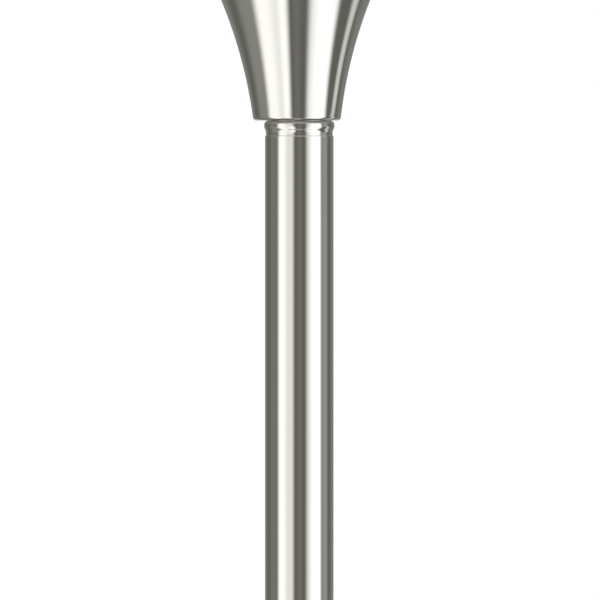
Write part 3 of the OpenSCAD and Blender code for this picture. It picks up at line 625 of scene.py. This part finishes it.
def spring():
    """The dimmer's return spring: two narrowing turns of wire."""
    low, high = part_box("dimmer_spring")
    turns, wire_r, wide_r, narrow_r = 2, 0.16 * MM, 4.2 * MM, 3.6 * MM
    room, flat_end, squeezed = 0.25 * MM, 0.12, 0.4
    rear, front = high.y + room, low.y - room
    steps, sides, near = 144, 10, 0.001

    def middle(t):
        """The middle of the wire where t of its length is done."""
        a = 2 * math.pi * turns * t
        r = wide_r + (narrow_r - wide_r) * t
        climb = min(1.0, max(0.0, (t - flat_end) / (1 - 2 * flat_end)))
        y = rear - wire_r - climb * (rear - front - 2 * wire_r)
        return Vector((r * math.cos(a), y, DIMMER_Z + r * math.sin(a)))

    def ring(t):
        """The points round the wire there."""
        here = middle(t)
        along = (middle(t + near) - middle(t - near)).normalized()
        across = along.cross(here - Vector((0, here.y, DIMMER_Z))).normalized()
        out = across.cross(along)
        turn = [2 * math.pi * k / sides for k in range(sides)]
        return [here + (out * math.cos(a) + across * math.sin(a)) * wire_r for a in turn]

    coil = lofted("dimmer_return_spring", [ring(i / steps) for i in range(steps + 1)])
    smooth(coil.data, 50)
    fit(coil, "dimmer_rotor", "plated_steel", "dimmer_spring")
    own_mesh(coil)


# ---------------------------------------------------------------- inside the shade
def socket():
    """The porcelain shell of the socket."""
    low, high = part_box("socket_shell")
    shell_r, mouth_r, height = high.x, 14.6 * MM, high.z - low.z
    inner_r, top = shell_r - 1.5 * MM, height - 2 * MM
    outline = rounded([(inner_r, 0, 0.3 * MM), (shell_r, 0, 0.4 * MM), (shell_r, height, 1.3 * MM),
                       (mouth_r, height, 0.9 * MM), (mouth_r, top, 0.3 * MM), (inner_r, top, 0)], steps=7)
    shell = turned("socket_porcelain", outward(outline), 160)
    fit(place(shell, raised(low.z)), "stand", "porcelain", "socket_shell")


def shade_fixings():
    """The nut and the broad washer that hold the shade down."""
    low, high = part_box("shade_nut")
    clamp = nut("shade_clamp_nut", 14 * MM, 5.02 * MM, high.z - low.z)
    fit(place(clamp, raised(low.z)), "stand", "plated_steel", "shade_nut")

    low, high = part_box("shade_washer")
    outline = rounded([(PIPE_R, low.z, 0.1 * MM), (high.x, low.z, 0.2 * MM), (high.x, high.z, 0.5 * MM),
                       (PIPE_R, high.z, 0.2 * MM)])
    fit(turned("shade_spread_washer", outward(outline), 128), "stand", "plated_steel", "shade_washer")


def bulb():
    """The bulb's glass: a ball that runs down into its neck in one smooth curve."""
    low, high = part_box("bulb_glass")
    ball_r, neck_r, glass, turn = 30 * MM, 13.7 * MM, 0.8 * MM, 40
    centre = high.z - ball_r
    curve_r = (ball_r * math.cos(math.radians(turn)) - neck_r) / (1 - math.cos(math.radians(turn)))
    curve_z = centre - (ball_r + curve_r) * math.sin(math.radians(turn))

    def skin(inset, steps):
        points = [(neck_r - inset, low.z)]
        points += arc(neck_r + curve_r, curve_z, curve_r + inset, 180, 180 - turn, steps)
        return points + arc(0, centre, ball_r - inset, -turn, 89.6, steps * 3)[1:]

    outline = outward(skin(0, 14) + skin(glass, 8)[::-1])
    fit(turned("bulb_envelope", outline, 160, sharp=60), "stand", "frosted_glass", "bulb_glass")


# ---------------------------------------------------------------- studio
def studio_light():
    """Tall light panels and dark gaps all round, a pale ceiling, and plain white behind the lamp.
    Directions are in degrees: round the lamp from its front towards +X, and up from level."""
    world = bpy.data.worlds.new("studio")
    bpy.context.scene.world = world
    world.use_nodes = True
    g = Graph(world.node_tree)
    ray = g.add("ShaderNodeTexCoord").outputs["Generated"]
    split = g.add("ShaderNodeSeparateXYZ", {"Vector": ray})
    azimuth = g.math("DEGREES", g.math("ARCTAN2", split.outputs["X"],
                                       g.math("MULTIPLY", split.outputs["Y"], -1.0)))
    height = g.math("DEGREES", g.math("ARCSINE", split.outputs["Z"]))
    depth = g.math("MULTIPLY", height, -1.0)
    below = g.ramp(depth, 1.0, 11.0)
    deep = g.ramp(depth, 7.0, 24.0)

    def edge(at, softness, slip):
        """One edge of a panel. slip says how far it moves over below level, and how much more deeper down."""
        place = g.math("SUBTRACT", azimuth, g.math("MULTIPLY", below, slip[0]))
        place = g.math("SUBTRACT", place, g.math("MULTIPLY", deep, slip[1]))
        return g.ramp(place, at - softness, at + softness)

    def panel(low, high, soft_low, soft_high, slip_low=(0, 0), slip_high=(0, 0)):
        return g.math("MULTIPLY", edge(low, soft_low, slip_low),
                      g.inverse(edge(high, soft_high, slip_high)))

    def strength(mask, at_level, under_level):
        """A panel with its strength at level, which changes to another below level."""
        change = g.math("MULTIPLY", below, under_level - at_level)
        return g.math("MULTIPLY", mask, g.math("ADD", at_level, change))

    def spot(at, up, full, gone):
        """A round soft light. full and gone say how far from its middle it starts to fade and ends."""
        at, up = math.radians(at), math.radians(up)
        middle = (math.sin(at) * math.cos(up), -math.cos(at) * math.cos(up), math.sin(up))
        off = g.math("DEGREES", g.math("ARCCOSINE", g.measure("DOT_PRODUCT", ray, middle)))
        return g.inverse(g.ramp(off, full, gone))

    def lit_by(total, colour, light):
        return g.vector("ADD", total, g.vector("SCALE", colour, scale=light))

    glow, cool, pale = (0.995, 1.0, 0.99), (0.985, 1.0, 1.02), (1.12, 1.12, 1.12)
    fill = (0.175, 0.17325, 0.161)
    panels = [
        (glow, strength(panel(-115, -78, 12, 6), 0.08, 0.17)),                       # far left
        (glow, strength(panel(-76, -20, 7, 7, (-3, 0), (3, 0)), 1.00, 1.10)),        # left
        (cool, strength(panel(-73, -47, 6, 10), 0.45, 0.30)),                        # its brightest part
        (cool, strength(panel(-33, -14, 7, 5), 0.0, 0.34)),                          # its near edge, low down
        (cool, strength(panel(25, 79, 8, 6, (1, 0), (2, 0)), 0.95, 1.15)),           # right
        (cool, strength(panel(39, 76, 9, 6), 0.60, 0.35)),                           # its brightest part
        (glow, strength(panel(84, 109, 5, 5, (19, 6), (10, 4)), 0.25, 0.70)),        # far right
        (glow, strength(panel(-5, 8, 5, 5), 0.06, 0.05)),                            # in the dark middle
        (glow, strength(panel(132, 176, 12, 12), 0.10, 0.10)),                       # behind, right
        (glow, strength(panel(-176, -142, 12, 12), 0.10, 0.10)),                     # behind, left
    ]
    total = (0.0, 0.0, 0.0)
    for colour, light in panels:
        total = lit_by(total, colour, light)
    total = g.vector("SCALE", total, scale=g.inverse(g.ramp(depth, 48.0, 56.0)))
    total = g.vector("ADD", total, fill)
    under_front, under_rear = spot(0, -62, 4.0, 18.0), spot(180, -28, 10.0, 27.0)
    total = lit_by(total, glow, g.math("MULTIPLY", under_front, 0.45))
    total = lit_by(total, glow, g.math("MULTIPLY", under_rear, 0.55))
    ceiling = g.ramp(height, 16.0, 48.0)
    total = lit_by(g.vector("SCALE", total, scale=g.inverse(ceiling)), pale, ceiling)
    lit = g.add("ShaderNodeBackground", {"Color": total})
    white = g.add("ShaderNodeBackground", {"Color": (1.0, 1.0, 1.0, 1.0)})
    seen = g.add("ShaderNodeLightPath").outputs["Is Camera Ray"]
    g.output(g.mix_shaders(seen, lit, white), "ShaderNodeOutputWorld")


def floor():
    """A round pale floor, just under the lamp, that fades out well inside the far corners of any view. It
    isn't seen from beneath, from the narrow gap under the felt, or in the lamp's far reflections."""
    rings, sides, reach, drop = 24, 96, 0.65, 0.4 * MM
    turn = [2 * math.pi * k / sides for k in range(sides)]
    verts = [(0.0, 0.0, -drop)]
    verts += [(reach * ring / rings * math.cos(a), reach * ring / rings * math.sin(a), -drop)
              for ring in range(1, rings + 1) for a in turn]
    faces = [(0, 1 + k, 1 + (k + 1) % sides) for k in range(sides)]
    faces += [(a + k, a + k + sides, a + (k + 1) % sides + sides, a + (k + 1) % sides)
              for a in range(1, 1 + (rings - 1) * sides, sides) for k in range(sides)]
    ground = mesh_piece("floor", verts, faces)

    material, g, place = new_material("pale_floor")
    tone = g.blend(g.noise(place, 14.0, detail=4.0), (0.80, 0.80, 0.79, 1), (0.84, 0.84, 0.83, 1))
    surface = g.add("ShaderNodeBsdfPrincipled", {"Base Color": tone, "Roughness": 0.8})
    ray = g.add("ShaderNodeLightPath").outputs
    beneath = g.add("ShaderNodeNewGeometry").outputs["Backfacing"]
    close = g.math("LESS_THAN", ray["Ray Length"], 5 * drop)
    far_gloss = g.math("MULTIPLY", ray["Is Glossy Ray"], g.ramp(ray["Ray Length"], 0.4, 0.9))
    faded = g.ramp(g.measure("LENGTH", place), 0.22, reach - 0.03)
    hidden = g.math("MAXIMUM", g.math("MAXIMUM", beneath, close), g.math("MAXIMUM", far_gloss, faded))
    g.output(g.mix_shaders(hidden, surface, g.add("ShaderNodeBsdfTransparent")))
    ground.data.materials.append(material)


def camera():
    """A long lens level with the shade's foot, framing the top of the pole and the foot of the shade."""
    frame_width, distance = 0.3331, 5.0
    frame_centre = Vector((0.4 * MM, 0.0, FOOT_Z - 99.6 * MM))
    data = bpy.data.cameras.new("camera")
    data.sensor_width = 36.0
    data.lens = data.sensor_width * distance / frame_width
    data.clip_end = 60.0
    eye = bpy.data.objects.new("camera", data)
    bpy.context.scene.collection.objects.link(eye)
    eye.location = (frame_centre.x, -distance, FOOT_Z)
    eye.rotation_mode = "QUATERNION"
    eye.rotation_quaternion = (frame_centre - eye.location).to_track_quat("-Z", "Y")
    bpy.context.scene.camera = eye


pole_tube("lower_tube")
pole_tube("middle_tube")
pole_tube("upper_tube", DIMMER_Z)
neck()
trumpet()
base_shell()
base_collar()
cord_gland()
knob()
knob_line()
dimmer_front()
spring()
socket()
shade_fixings()
bulb()
studio_light()
floor()
camera()
bpy.context.scene.view_settings.view_transform = "Standard"
bpy.context.scene.view_settings.look = "None"
